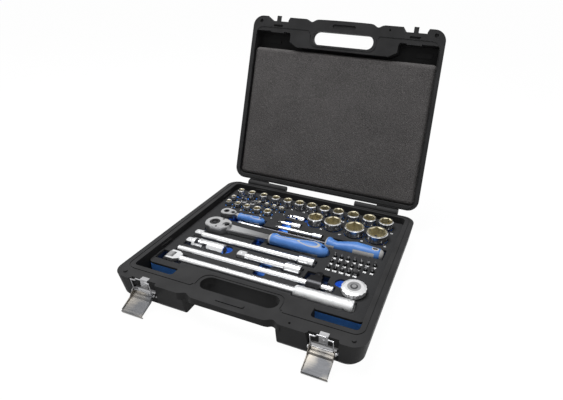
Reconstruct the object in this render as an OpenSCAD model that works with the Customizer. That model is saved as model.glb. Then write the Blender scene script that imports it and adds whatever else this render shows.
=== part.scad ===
// Socket wrench set in a double-walled case: half-inch and quarter-inch drive tools in a foam tray.
// Frame: X to the right, Y to the back (hinge side), Z up; the origin is the centre of the underside.

/* [Case] */
// Width of the case at its rim
case_w = 440; // [438:1:450]
// Depth of the case at its rim, handle included
case_d = 380; // [378:1:386]
// Height of the base, from the ground to its rim
base_h = 47; // [47:0.5:54]
// Height of the lid, from its rim to its top
lid_h = 36; // [34:0.5:44]
// Corner radius of the rim
corner_r = 24; // [18:1:30]
// How far the walls lean in over the full height of a half
draft = 7; // [3:0.5:9]
// Width of the base rim at the left and right
side_rim = 19; // [16:0.5:20]
// Width of the rims at the back
back_rim = 10; // [8:0.5:11]
// Width of the lid rim at the left and right
lid_rim = 9; // [8:0.5:12]
// Thickness of the floor of the base and of the top of the lid
floor_t = 4; // [3:0.5:5]

/* [Handle] */
// Half the length of the finger hole
hole_half = 70; // [60:1:72]
// Width of the finger hole
hole_w = 30; // [26:1:31]
// Thickness of each half of the handle
grip_t = 14; // [10:1:18]

/* [Hinge and latches] */
// Angle between closed and open lid
open_angle = 108.3; // [90:0.1:112]
// Distance of the hinge axis behind the rim
hinge_back = 8.4; // [8:0.1:10]
// Radius of the hinge knuckles
knuckle_r = 6.5; // [5:0.1:6.5]
// Radius of the hinge pins
pin_r = 2; // [1.5:0.1:2.5]
// Distance of each latch from the middle of the case
latch_x = 157; // [150:1:160]
// Width of the latch lever
lever_w = 40; // [34:1:41]
// Length of the latch lever from its pivot to its lip
lever_len = 36; // [30:1:37]
// Turn of the lever from closed to open
lever_turn = 113; // [100:1:114]

/* [Tray] */
// Depth of the tray surface below the rim
tray_drop = 14; // [12:0.5:14]
// Thickness of the black top layer of foam
skin_t = 4; // [3:0.5:5]
// Gap round a tool in its pocket
pocket_gap = 1; // [0.6:0.1:1.2]
// Depth of the finger notches in the foam
notch_depth = 14; // [8:1:18]

/* [Half-inch tools] */
// Side of the half-inch drive square
half_sq = 12.7; // [12.6:0.05:12.8]
// Radius of the half-inch extension shafts
half_shaft_r = 6.25; // [5.5:0.25:6.5]
// Radius of the half-inch extension collars
half_collar_r = 9.25; // [9:0.25:9.5]
// Height of the half-inch sockets in the back row
half_socket_h = 38; // [36:0.5:39]
// Height of the four large half-inch sockets
large_socket_h = 42; // [40:0.5:43]
// Radius of the sliding bar
bar_r = 6; // [5:0.25:6.25]

/* [Quarter-inch tools] */
// Side of the quarter-inch drive square
quarter_sq = 6.35; // [6.3:0.05:6.4]
// Radius of the quarter-inch extension shafts
quarter_shaft_r = 3.8; // [3.5:0.1:4]
// Radius of the quarter-inch extension collars
quarter_collar_r = 6.2; // [5.8:0.1:6.4]
// Height of the quarter-inch sockets
quarter_socket_h = 25; // [24:0.5:27]
// Length of a driver bit
bit_len = 25; // [24:1:28]

/* [Hidden] */
$fn = 48;
eps = 0.01;
fit = 0.05;

// Plan of the case, with the rim plane at z = 0 of each half
half_w = case_w / 2;
half_d = case_d / 2;
hinge_y = half_d + hinge_back;
cav_x = half_w - side_rim;
lid_cav_x = half_w - lid_rim;
cav_back = half_d - back_rim;
cav_front = -126;
well_front = -157;
well_in = 124;
hole_back = -136;
hole_mid = hole_back - hole_w / 2;
notch_half = 82;
bar_front = half_d + 1.5;
lid_gap = 0.4;
latch_half = 23.5;
latch_wall = half_d - 6;
latch_deep = half_d - 10;
latch_step = 16;

// Latch mechanism, in the YZ plane, from the rim plane
pivot_y = -(half_d - 1);
pivot_z = -23.2;
bail_crank = 3.2;
bail_open = 100;
bail_wire = 1;
bail_pin = 0.8;
bail_l = 28.4;
bail_tilt = 9.7;
sheet_t = 1.2;

// Tray and tool levels, from the rim plane
tray_z = -tray_drop;
skin_z = tray_z - skin_t;
tray_floor = floor_t - base_h;
lid_pad_z = 4.5;
ring_z = 2;
quarter_ring_z = -5;
bit_top_z = -6;

// Plan places of the tools
half_sizes = [10, 11, 12, 13, 14, 15, 16, 17, 18, 19, 21, 22];
half_xs = [-174, -146.5, -116.5, -86.5, -57, -28.5, 0, 30.5, 61.5, 95, 130, 165.5];
half_turns = [19, 10, 19, 19, -11, -11, 0, 19, 19, 19, 8, 19];
half_row_y = 152;
large_sizes = [24, 27, 30, 32];
large_spots = [[26, 110], [64.5, 110], [112, 106], [159, 105]];
small_sizes = [8, 5, 5.5, 6, 7];
small_spots = [[-181, 130], [-116.5, 130], [-98, 130], [-79, 128.5], [-59, 126]];
middle_sizes = [9, 10, 11, 12, 13];
middle_spots = [[-180, 107.5], [-157, 106.5], [-133, 105], [-108, 104], [-82, 103]];
adaptor_spots = [[-154.5, 131], [-132, 129]];
ratchet_y = 13.5;
ratchet_drive_x = -153;
ratchet_lever_x = -127;
ratchet_top = 1;
ratchet_low = -18;
flex_y = -99.5;
flex_z = -14.5;
flex_pivot_x = -173;
slide_y = -71.5;
slide_z = -15.5;
slide_x = 97;
ext_z = -12.3;
long_ext_y = -21;
short_ext_y = -50;
joint_y = -46;
joint_x = -143;
joint_z = -15.5;
disc_spot = [164.5, -64];
small_ratchet_y = 66;
small_drive_x = -159;
small_lever_x = -144;
spinner_y = 52;
spinner_z = -16.5;
small_long_y = 67;
small_short_y = 86;
small_ext_z = -15.5;
small_joint = [-22, 113.5, -15.5];
bit_rows = [[7, 18], [7, 0], [5, -18]];
bit_x0 = 103;
bit_step = 12.7;

// ---------- helpers ----------

// Puts a shape drawn from the rim plane at its height
module at_rim() {
    translate([0, 0, base_h]) children();
}

// Sweeps a YZ outline along X, centred
module along_x(l) {
    rotate([90, 0, 90]) linear_extrude(l, center = true) children();
}

// Sweeps an XZ outline along Y, centred
module along_y(l) {
    rotate([90, 0, 0]) linear_extrude(l, center = true) children();
}

// A flat rectangle with round corners
module round_rect(w, d, r) {
    square([w - 2 * r, d], center = true);
    square([w, d - 2 * r], center = true);
    for (sx = [-1, 1], sy = [-1, 1]) {
        translate([sx * (w / 2 - r), sy * (d / 2 - r)]) circle(r);
    }
}

// A body of revolution about X from a profile of [x, radius] points, starting at x = 0
module turned(profile) {
    rotate([0, 90, 0]) rotate_extrude() polygon(
        concat([[0, profile[0][0]]], [for (p = profile) [p[1], p[0]]],
               [[0, profile[len(profile) - 1][0]]]));
}

// A wire through [x, z] points in the XZ plane, with mitred bends
module wire(points, r) {
    n = len(points) - 1;
    dirs = [for (i = [0:n - 1]) (points[i + 1] - points[i]) / norm(points[i + 1] - points[i])];
    turns = [for (i = [1:n - 1]) acos(dirs[i - 1] * dirs[i])];
    over = [for (i = [0:n]) i == 0 || i == n ? 0 : 0.92 * r * tan(turns[i - 1] / 2)];
    for (i = [0:n - 1]) {
        p = points[i] - dirs[i] * over[i];
        l = norm(points[i + 1] - points[i]) + over[i] + over[i + 1];
        translate([p[0], 0, p[1]]) rotate([0, 90 - atan2(dirs[i][1], dirs[i][0]), 0])
            rotate(15) cylinder(r = r, h = l, $fn = 12);
    }
}

// A chain of elliptical stations [x, half width, half height, y offset] blended along X
module blended(stations) {
    for (i = [0:len(stations) - 2]) {
        hull() {
            for (s = [stations[i], stations[i + 1]]) {
                translate([s[0], s[3], 0]) rotate([0, 90, 0]) linear_extrude(0.2)
                    scale([s[2], s[1]]) circle(1, $fn = 32);
            }
        }
    }
}

// A drive square of side s along -X with a chamfered tip and its spring ball on top
module drive_square(s, l) {
    c = s * 0.1;
    intersection() {
        translate([-l, -s / 2, -s / 2]) cube([l, s, s]);
        translate([-l, 0, 0]) turned([[0, s * 0.58], [2 * c, s * 0.68], [l, s * 0.68]]);
    }
    translate([-l * 0.55, 0, s / 2 - s * 0.07]) sphere(s * 0.16, $fn = 24);
}

// ---------- case halves, rim plane at z = 0, body towards +Z ----------

module half_block(h) {
    stations = [[0, 0], [h - 8, draft * (h - 8) / h], [h - 2.6, draft + 1.6], [h - 0.6, draft + 4], [h, draft + 6.5]];
    hull() {
        for (s = stations) {
            translate([0, 0, s[0] - (s[0] > 0 ? eps : 0)]) linear_extrude(eps)
                round_rect(case_w - 2 * s[1], case_d - 2 * s[1], corner_r);
        }
    }
}

// Front edge of the handle: a slight bow between two soft dips
function bar_edge(x) = -(half_d + 1.5 * (1 - pow(x / 90, 2)) - 6 * exp(-pow((abs(x) - 76) / 8, 2)));

module handle_plan() {
    polygon(concat([[-90, hole_back + 5]],
        [for (x = [-90:2:90]) [x, bar_edge(x)]],
        [[90, hole_back + 5]]));
}

module finger_hole() {
    translate([0, hole_mid]) {
        square([2 * hole_half - hole_w, hole_w], center = true);
        for (sx = [-1, 1]) {
            translate([sx * (hole_half - hole_w / 2), 0]) circle(hole_w / 2);
        }
    }
}

// The handle bar: round below, flat at the rim, open for the fingers
module handle_bar() {
    r = 6;
    intersection() {
        linear_extrude(grip_t) difference() {
            handle_plan();
            finger_hole();
        }
        along_x(200) {
            translate([-(bar_front + 0.5), 0]) square([70, grip_t - r]);
            translate([-(bar_front + 0.5) + r, 0]) square([70 - r, grip_t]);
            translate([-(bar_front + 0.5) + r, grip_t - r]) circle(r);
        }
    }
}

// Free space in front of the body under the handle
module under_handle(h) {
    r = 15;
    translate([0, 0, grip_t]) linear_extrude(h) {
        translate([0, hole_back - 60]) round_rect(2 * notch_half, 120, r);
    }
    linear_extrude(grip_t + eps) difference() {
        translate([-90, -(half_d + 20)]) square([180, half_d + 20 + hole_back]);
        handle_plan();
    }
    translate([0, 0, -eps]) linear_extrude(grip_t + 1) finger_hole();
}

// Recess of one latch, with flared sides
module latch_recess(h, wall, deep) {
    flare = 4;
    translate([latch_x, 0, -eps]) linear_extrude(h + 1) polygon([
        [-latch_half, -wall], [-latch_half, -wall - 3], [-latch_half - flare, -half_d - 1],
        [-latch_half - flare, -half_d - 9], [latch_half + flare, -half_d - 9],
        [latch_half + flare, -half_d - 1], [latch_half, -wall - 3], [latch_half, -wall]]);
    translate([latch_x - latch_half, -half_d - 9, latch_step]) cube([2 * latch_half, half_d + 9 - deep, h]);
}

// Plan of the inside: tray space, two front wells and the bevels between them
module inside(x, front, well_x, well_y, back, r) {
    translate([0, (front + back) / 2]) round_rect(2 * x, back - front, r);
    for (sx = [-1, 1]) scale([1, 1]) {
        translate([sx * (x + well_x) / 2, (well_y + front + 20) / 2])
            round_rect(x - well_x, front + 20 - well_y, r * 0.6);
        polygon([[sx * (well_x - 18), front + r], [sx * (well_x - 18), front],
                 [sx * well_x, front - 10], [sx * (well_x + 8), front - 10],
                 [sx * (well_x + 8), front + r]]);
    }
}

// The line that the inner lip follows round the rim and the finger hole
module lip_plan(grow) {
    front = -166;
    bump = hole_half + 6;
    difference() {
        translate([0, (front + half_d - 4) / 2]) round_rect(case_w - 20 + 2 * grow, half_d - 4 - front + 2 * grow, corner_r - 8);
        translate([0, hole_back + 4 - 40 - grow]) round_rect(2 * (bump - grow), 80, 16);
        for (sx = [-1, 1]) {
            translate([sx * (bump + 4 - grow), front - 1]) difference() {
                square([12, 12], center = true);
                translate([sx * 6, 6]) circle(7 + grow);
            }
        }
    }
}

module knuckle(x0, x1) {
    difference() {
        union() {
            translate([(x0 + x1) / 2, hinge_y, 0]) rotate([0, 90, 0]) cylinder(r = knuckle_r, h = x1 - x0, center = true);
            translate([x0, half_d - 4, 1.2]) cube([x1 - x0, hinge_back + 4, knuckle_r - 1.2]);
        }
        translate([(x0 + x1) / 2, hinge_y, 0]) rotate([0, 90, 0]) cylinder(r = pin_r + fit, h = x1 - x0 + 1, center = true);
    }
}

module case_half(h, wall, deep, inner) {
    difference() {
        union() {
            difference() {
                half_block(h);
                under_handle(h);
            }
            handle_bar();
        }
        for (sx = [0, 1]) mirror([sx, 0, 0]) latch_recess(h, wall, deep);
        translate([0, 0, -eps]) linear_extrude(h - floor_t + eps)
            inside(inner, cav_front, well_in, well_front, cav_back, 10);
    }
}

module base_shell() {
    color([0.16, 0.16, 0.17]) at_rim() {
        mirror([0, 0, 1]) {
            difference() {
                case_half(base_h, latch_wall, latch_deep, cav_x);
                translate([0, 0, -eps]) linear_extrude(1.2) difference() {
                    lip_plan(0.8);
                    lip_plan(-0.8);
                }
                translate([102, -181, -eps]) cylinder(r = 1.9, h = 8);
                for (sx = [-1, 1]) {
                    translate([sx * latch_x, -latch_wall - 1, 9]) rotate([-90, 0, 0]) cylinder(r = 1.5, h = 6);
                    translate([sx * latch_x - 7.1, -latch_wall - 1, -eps]) cube([14.2, 7.1, sheet_t + eps]);
                }
            }
            for (sx = [0, 1]) mirror([sx, 0, 0]) knuckle(83.2, 131.2);
            // ribs that the tray snaps under
            for (sx = [-1, 1], y = [-74, 133]) {
                translate([sx * (cav_x - 0.4), y, 7]) cube([2.4, 28, 1.8], center = true);
            }
            for (x = [-138, 145]) {
                translate([x, cav_back - 0.4, 5]) cube([26, 2.4, 1.8], center = true);
            }
        }
        // pegs and handle bar that locate the lid
        for (sx = [-1, 1]) {
            translate([sx * 200, -178, -1]) cylinder(r1 = 3.7, r2 = 3, h = 3.4);
        }
        translate([0, -178.5, -1]) linear_extrude(2.6) round_rect(50, 7, 3.4);
    }
}

// Lid details in the closed place, rim plane at z = 0
module lid_closed() {
    difference() {
        case_half(lid_h, latch_deep, latch_deep, lid_cav_x);
        for (sx = [-1, 1]) {
            translate([sx * 200, -178, -eps]) cylinder(r = 4.2, h = 3);
            translate([sx * latch_x, -170, -eps]) linear_extrude(3) round_rect(22, 4.6, 1);
        }
        translate([0, -178.5, -eps]) linear_extrude(2.4) round_rect(53, 9, 4.4);
        translate([102, -181, -eps]) cylinder(r = 1.9, h = 8);
        translate([0, 12, lid_h - 1.4]) linear_extrude(2) round_rect(case_w - 70, case_d - 110, 18);
    }
    translate([0, 0, -0.8]) linear_extrude(1) difference() {
        lip_plan(0.4);
        lip_plan(-0.4);
    }
    for (sx = [0, 1]) mirror([sx, 0, 0]) {
        knuckle(131.8, 180);
        translate([latch_x, -158, 1.4]) cube([32, 7, 2.8], center = true);
        translate([latch_x - 5, -191.9, 0]) cube([10, 12.5, 2.2]);
        translate([latch_x - 5, -191.9, 0]) cube([10, 0.9, 4.4]);
        translate([177, -139, lid_h - floor_t - 2]) linear_extrude(3) round_rect(36, 11, 4);
    }
}

// Turns a lid piece from its closed to its open place
module opened() {
    at_rim() translate([0, hinge_y, 0]) rotate([-open_angle, 0, 0]) translate([0, -hinge_y, 0]) children();
}

module lid_shell() {
    color([0.18, 0.18, 0.19]) opened() translate([0, 0, lid_gap]) difference() {
        lid_closed();
        translate([0, 0, -lid_gap]) for (sx = [-1, 1]) {
            translate([sx * 156, hinge_y, 0]) rotate([0, 90, 0]) cylinder(r = pin_r + fit, h = 60, center = true);
        }
    }
}

module hinge_pins() {
    color([0.6, 0.6, 0.62]) at_rim() for (sx = [-1, 1]) {
        translate([sx * 131.6, hinge_y, 0]) rotate([0, 90, 0]) cylinder(r = pin_r, h = 94, center = true);
    }
}

module lid_foam() {
    front = -120;
    color([0.32, 0.31, 0.3]) opened() translate([0, (front + cav_back - 0.5) / 2, lid_gap + lid_pad_z])
        linear_extrude(lid_h - floor_t - lid_pad_z) round_rect(2 * lid_cav_x - 1, cav_back - 0.5 - front, 9);
}

// ---------- latches ----------

module latch_plates() {
    y_wall = -latch_wall;
    y_deep = -latch_deep;
    color([0.75, 0.75, 0.77]) at_rim() for (sx = [0, 1]) mirror([sx, 0, 0]) translate([latch_x, 0, 0]) {
        difference() {
            union() {
                along_x(14) polygon([
                    [y_wall + 6, -sheet_t], [y_wall + 6, 0], [y_wall - sheet_t, 0],
                    [y_wall - sheet_t, -latch_step - sheet_t], [y_deep - sheet_t, -latch_step - sheet_t],
                    [y_deep - sheet_t, -latch_step - 4], [y_deep, -latch_step - 4],
                    [y_deep, -latch_step], [y_wall, -latch_step], [y_wall, -sheet_t]]);
                translate([-21.8, y_deep - sheet_t, -33]) cube([43.6, sheet_t, 33 - latch_step - sheet_t]);
            }
            translate([0, y_wall - 3, -9]) rotate([-90, 0, 0]) cylinder(r = 1.5, h = 4);
        }
        for (side = [-1, 1]) {
            translate([side * 21.2, 0, 0]) along_x(sheet_t) difference() {
                union() {
                    translate([pivot_y, pivot_z - 3]) square([y_deep - pivot_y, 6]);
                    translate([pivot_y, pivot_z]) circle(3);
                }
                translate([pivot_y, pivot_z]) circle(1);
            }
        }
    }
}

// Rivets of the plates and the stub pins that the levers turn on
module latch_rivets() {
    color([0.55, 0.55, 0.57]) at_rim() for (sx = [0, 1]) mirror([sx, 0, 0]) translate([latch_x, 0, 0]) {
        translate([0, -latch_wall - sheet_t, -9]) rotate([-90, 0, 0]) cylinder(r = 1.5, h = 5);
        translate([0, -latch_wall - sheet_t, -9]) rotate([90, 0, 0]) cylinder(r1 = 2.4, r2 = 1.6, h = 0.8);
        for (side = [-1, 1]) {
            translate([side * 20.1, pivot_y, pivot_z]) rotate([0, 90, 0]) cylinder(r = 1, h = 3.4, center = true);
            translate([side * 22.3, pivot_y, pivot_z]) rotate([0, 90, 0]) cylinder(r = 1.9, h = 1, center = true);
        }
    }
}

// One lever, drawn closed about its pivot and turned open
module latch_lever() {
    step = 1.2;
    crank = bail_open - lever_turn;
    flange = sheet_t;
    color([0.8, 0.8, 0.82]) at_rim() translate([0, pivot_y, pivot_z]) rotate([lever_turn, 0, 0]) {
        along_x(lever_w - 0.2) polygon([
            [-3, -4], [-3, 6.5], [-3 - step, 9.5], [-3 - step, lever_len - 1.2], [-4.8, lever_len],
            [-9.6, lever_len], [-9.9, lever_len - 1.8], [-9, lever_len - 1.9], [-8.8, lever_len - sheet_t],
            [-5.4, lever_len - sheet_t], [-3 - step - sheet_t, lever_len - 2], [-3 - step - sheet_t, 9.5],
            [-3 - sheet_t, 6.5], [-3 - sheet_t, -4]]);
        for (side = [-1, 1]) {
            translate([side * (lever_w - flange) / 2, 0, 0]) along_x(flange) difference() {
                union() {
                    circle(3.2);
                    translate([bail_crank * cos(crank), bail_crank * sin(crank)]) circle(2.3);
                    polygon([[-4, -4], [1, -3.2], [3.2, 1], [1.5, 8], [-1.5, 12], [-2.6, lever_len - 3],
                             [-5.2, lever_len - 3], [-5.2, 9.5], [-4, 6.5]]);
                }
                circle(1 + fit);
                translate([bail_crank * cos(crank), bail_crank * sin(crank)]) circle(bail_pin + fit);
            }
        }
    }
}

// One wire bail: a loop whose middle is raised to hook the lid
module latch_bail() {
    side = 17.4;
    low = bail_l - 5;
    y0 = pivot_y + bail_crank * cos(bail_open);
    z0 = pivot_z + bail_crank * sin(bail_open);
    color([0.85, 0.85, 0.87]) at_rim() translate([0, y0, z0]) rotate([bail_tilt, 0, 0]) {
        wire([[-side, -1.1], [-side, low], [-9.2, low + 0.6], [-6.4, bail_l], [6.4, bail_l],
              [9.2, low + 0.6], [side, low], [side, -1.1]], bail_wire);
        rotate([0, 90, 0]) cylinder(r = bail_pin, h = 40.4, center = true, $fn = 24);
    }
}

module left_latch_lever() {
    translate([-latch_x, 0, 0]) latch_lever();
}

module right_latch_lever() {
    translate([latch_x, 0, 0]) latch_lever();
}

module left_latch_bail() {
    translate([-latch_x, 0, 0]) latch_bail();
}

module right_latch_bail() {
    translate([latch_x, 0, 0]) latch_bail();
}

// ---------- sockets ----------

function half_od(s) = 1.27 * s + 3;
function quarter_od(s) = 1.2 * s + 2;

// An upright socket: hexagon up, drive square down, standing at the origin, hexagon turned by a
module socket(size, od, drive_od, h, sq, points, a) {
    shoulder = h * (drive_od < od - 2 ? 0.44 : 0.36);
    nose = h * (drive_od < od - 2 ? 0.64 : 0.46);
    c = min(1.2, od * 0.05);
    waist = drive_od / 2 - (drive_od < od ? 0.9 : 0.5);
    difference() {
        rotate_extrude() polygon([
            [0, 0], [drive_od / 2 - c, 0], [drive_od / 2, c], [drive_od / 2, shoulder - 2.4],
            [waist, shoulder - 1], [waist, shoulder + 1],
            [od / 2 - 0.35, nose], [od / 2, nose + 0.6], [od / 2, h - c], [od / 2 - c, h], [0, h]]);
        translate([0, 0, h - size * 0.75]) for (turn = [0:30:points == 12 ? 30 : 0]) {
            rotate(turn + a) linear_extrude(size) circle(size / sqrt(3), $fn = 6);
        }
        translate([0, 0, h - 1.6]) cylinder(r1 = size * 0.5, r2 = size * 0.5 + 2, h = 2, $fn = 48);
        translate([0, 0, -eps]) rotate(a) linear_extrude(h) square(sq + 0.1, center = true);
        translate([0, 0, -eps]) cylinder(r1 = sq * 0.68, r2 = sq * 0.55, h = 1.2);
    }
}

module half_socket(size, x, y, h, a) {
    od = half_od(size);
    sq = min(half_sq, size * 0.72);
    color([0.82, 0.82, 0.84]) at_rim() translate([x, y, ring_z - h])
        difference() {
            socket(size, od, max(od * 0.8, 22), h, sq, size == 16 ? 12 : 6, a);
            translate([0, 0, -eps]) rotate(a) linear_extrude(h * 0.34) square(half_sq + 0.1, center = true);
        }
}

module half_row(i) {
    half_socket(half_sizes[i], half_xs[i], half_row_y, half_socket_h, half_turns[i]);
}

module large(i) {
    half_socket(large_sizes[i], large_spots[i][0], large_spots[i][1], large_socket_h, -11);
}

module quarter_sockets() {
    sizes = concat(small_sizes, middle_sizes);
    spots = concat(small_spots, middle_spots);
    color([0.82, 0.82, 0.84]) at_rim() for (i = [0:len(sizes) - 1]) {
        translate([spots[i][0], spots[i][1], quarter_ring_z - quarter_socket_h]) difference() {
            socket(sizes[i], quarter_od(sizes[i]), max(quarter_od(sizes[i]), 11.6), quarter_socket_h,
                   min(quarter_sq, sizes[i] * 0.72), 6, 19);
            translate([0, 0, -eps]) rotate(19) linear_extrude(8) square(quarter_sq + 0.1, center = true);
        }
    }
}

// Couplers that stand with their male square up
module bit_adaptors() {
    color([0.84, 0.84, 0.86]) at_rim() {
        translate([adaptor_spots[0][0], adaptor_spots[0][1], quarter_ring_z - quarter_socket_h]) {
            difference() {
                cylinder(r = 7.6, h = 17);
                translate([0, 0, -eps]) linear_extrude(11) circle(6.5 / sqrt(3), $fn = 6);
            }
            translate([0, 0, 17]) rotate([0, 90, 20]) drive_square(9.5, 11);
        }
        translate([adaptor_spots[1][0], adaptor_spots[1][1], quarter_ring_z - quarter_socket_h]) {
            difference() {
                cylinder(r = 6.2, h = 17);
                translate([0, 0, -eps]) linear_extrude(11) circle(6.5 / sqrt(3), $fn = 6);
            }
            translate([0, 0, 17]) rotate([0, 90, 20]) drive_square(quarter_sq, 8);
        }
    }
}

// Hexagon driver bits, tips up
module driver_bits() {
    af = 6.35;
    color([0.12, 0.12, 0.13]) at_rim() for (r = [0:len(bit_rows) - 1], i = [0:bit_rows[r][0] - 1]) {
        big = r == 2 && i == 4;
        translate([bit_x0 + i * bit_step, bit_rows[r][1], bit_top_z - bit_len]) {
            linear_extrude(bit_len * 0.5) circle(af / sqrt(3), $fn = 6);
            translate([0, 0, bit_len * 0.5]) cylinder(r1 = af / 2 - 0.1, r2 = big ? 3.1 : 2.2 + 0.1 * i, h = 2.5);
            translate([0, 0, bit_len * 0.5 + 2.5]) {
                if (big) {
                    linear_extrude(bit_len * 0.5 - 2.5) circle(5.6, $fn = 6);
                } else if (i % 3 == 0) {
                    linear_extrude(bit_len * 0.5 - 2.5) circle(2.1 + 0.12 * i, $fn = 6);
                } else if (i % 3 == 1) {
                    cylinder(r = 2.2 + 0.1 * i, h = bit_len * 0.5 - 7);
                    translate([0, 0, bit_len * 0.5 - 7]) cylinder(r1 = 2.2 + 0.1 * i, r2 = 0.7, h = 4.5);
                } else {
                    cylinder(r = 2.3, h = bit_len * 0.5 - 7);
                    linear_extrude(bit_len * 0.5 - 2.5) square([4.4, 1.1], center = true);
                }
            }
        }
    }
}

// ---------- half-inch ratchet ----------

module ratchet_plan(dx, r0, lx, r1, grow) {
    hull() {
        translate([dx, 0]) circle(r0 + grow, $fn = 64);
        translate([lx, 0]) circle(r1 + grow, $fn = 64);
    }
}

module ratchet_head(dx, r0, lx, r1, low, top, gear_r, c) {
    difference() {
        union() {
            translate([0, 0, low]) linear_extrude(c) ratchet_plan(dx, r0, lx, r1, -c * 0.7);
            translate([0, 0, low + c]) linear_extrude(top - low - 2 * c) ratchet_plan(dx, r0, lx, r1, 0);
            translate([0, 0, top - c]) linear_extrude(c) ratchet_plan(dx, r0, lx, r1, -c * 0.7);
        }
        translate([dx, 0, low - 1]) cylinder(r = gear_r + fit, h = top - 3 - low + 1);
        translate([dx, 0, low]) cylinder(r = gear_r * 0.78 + fit, h = top - low + 1);
    }
}

module half_ratchet_body() {
    color([0.78, 0.78, 0.8]) at_rim() translate([0, ratchet_y, 0]) difference() {
        union() {
            ratchet_head(ratchet_drive_x, 19, -135, 17.5, ratchet_low, ratchet_top, 13.5, 1.6);
            translate([0, 0, -15]) linear_extrude(11) polygon([[-124, -9], [-118, -9], [-32, -5.6], [10, -5.6],
                [10, 5.6], [-32, 5.6], [-118, 9], [-124, 9]]);
            translate([0, 0, -13.6]) linear_extrude(8.2) polygon([[-124, -10.2], [-118, -10.2], [-32, -6.8],
                [10, -6.8], [10, 6.8], [-32, 6.8], [-118, 10.2], [-124, 10.2]]);
        }
        translate([ratchet_lever_x, 0, ratchet_top - 1.8]) cylinder(r = 7.2, h = 4);
        translate([ratchet_lever_x, 0, ratchet_top - 8]) cylinder(r = 2 + fit, h = 9);
        for (sy = [-1, 1]) {
            translate([-141.5, sy * 14.4, ratchet_top - 1.6]) cylinder(r = 2.4, h = 3);
        }
    }
}

module half_ratchet_drive() {
    g = 13.5;
    color([0.2, 0.2, 0.21]) at_rim() translate([ratchet_drive_x, ratchet_y, 0]) difference() {
        union() {
            translate([0, 0, ratchet_low + 0.6]) cylinder(r = g, h = ratchet_top - 3.2 - ratchet_low - 0.6);
            translate([0, 0, ratchet_low + 1]) cylinder(r = g * 0.78, h = ratchet_top - ratchet_low - 1.2);
            translate([0, 0, ratchet_low + 0.6]) rotate([0, -90, 0]) drive_square(half_sq, 16);
        }
        translate([0, 0, -14]) cylinder(r = 4.2 + fit, h = 20);
        translate([0, 0, ratchet_top - 1.6]) cylinder(r = 6.4, h = 2);
    }
}

module half_ratchet_button() {
    color([0.28, 0.28, 0.3]) at_rim() translate([ratchet_drive_x, ratchet_y, -11]) {
        cylinder(r = 4.2, h = 10.6);
        translate([0, 0, 10.6]) cylinder(r1 = 4.2, r2 = 3.4, h = 0.9);
    }
}

module half_ratchet_lever() {
    color([0.15, 0.15, 0.16]) at_rim() translate([ratchet_lever_x, ratchet_y, 0]) {
        translate([0, 0, ratchet_top - 6]) cylinder(r = 2, h = 5);
        translate([0, 0, ratchet_top - 1.6]) linear_extrude(2.6) {
            circle(3.4);
            rotate(-70) translate([-2.1, 0]) square([4.2, 6.4]);
        }
        translate([0, 0, ratchet_top + 1]) linear_extrude(1.1) rotate(-70) translate([-2.1, 2.4]) square([4.2, 4]);
    }
}

module half_ratchet_screws() {
    color([0.14, 0.14, 0.15]) at_rim() for (sy = [-1, 1]) {
        translate([-141.5, ratchet_y + sy * 14.4, ratchet_top - 1.6]) difference() {
            cylinder(r = 2.4, h = 1.5);
            translate([0, 0, 0.7]) linear_extrude(1) circle(1.25, $fn = 6);
        }
    }
}

half_grip = [[-30.5, 9, 9, 1.5], [-27, 11.6, 11, 2.8], [-20, 12.4, 11.8, 3.7], [-10.5, 10.7, 10.4, 1.6],
             [14, 11.7, 11.2, 2.3], [39, 13.4, 12.4, 3.1], [64, 16.2, 13, 4.8], [76, 13.6, 11.6, 2.6],
             [84, 10.2, 8.6, 1.8], [89, 5, 4.6, 1.4]];

module half_ratchet_grip() {
    color([0.2, 0.38, 0.75]) at_rim() translate([0, ratchet_y, -9.4]) difference() {
        blended(half_grip);
        translate([-32, -6.8, -4.2]) cube([42, 13.6, 8.2]);
        translate([-32, -5.6, -5.6]) cube([42, 11.2, 11]);
        translate([79, 3, -20]) cylinder(r = 3.4, h = 40);
    }
}

// ---------- flex handle ----------

module flex_handle_bar() {
    fork = 11.5;
    gap = 7.2;
    x = flex_pivot_x;
    color([0.8, 0.8, 0.82]) at_rim() translate([0, flex_y, flex_z]) {
        translate([x + 22, 0, 0]) turned([[0, 6.9], [6, 6.25], [-x + 48, 6.25], [-x + 50, 5.9], [-x + 58, 5.9]]);
        difference() {
            union() {
                intersection() {
                    translate([x + 10, -fork, -7]) cube([13, 2 * fork, 14]);
                    translate([x + 10, 0, -9]) linear_extrude(18)
                        polygon([[0, -fork], [0, fork], [4, fork], [13, 6.4], [13, -6.4], [4, -fork]]);
                }
                for (sy = [-1, 1]) {
                    translate([x - 1, sy * (fork + gap) / 2, 0]) {
                        translate([0, 0, 0]) rotate([90, 0, 0]) cylinder(r = 7, h = fork - gap, center = true);
                        translate([6, 0, 0]) cube([13, fork - gap, 14], center = true);
                    }
                }
            }
            translate([x, 0, 0]) rotate([90, 0, 0]) cylinder(r = 2.5, h = 40, center = true);
        }
    }
}

module flex_handle_grip() {
    knurl_r = 11.5;
    color([0.72, 0.72, 0.73]) at_rim() translate([73, flex_y, flex_z]) difference() {
        turned([[0, 9], [1.4, 10.8], [4, knurl_r], [101.6, knurl_r], [103, knurl_r - 0.8]]);
        translate([-1, 0, 0]) rotate([0, 90, 0]) cylinder(r = 5.9, h = 29);
        translate([86, 0, 0]) rotate([0, 90, 0]) cylinder(r = 8.6, h = 30);
        translate([88, 0, 0]) rotate([90, 0, 0]) cylinder(r = 3.4, h = 40, center = true);
    }
}

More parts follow.
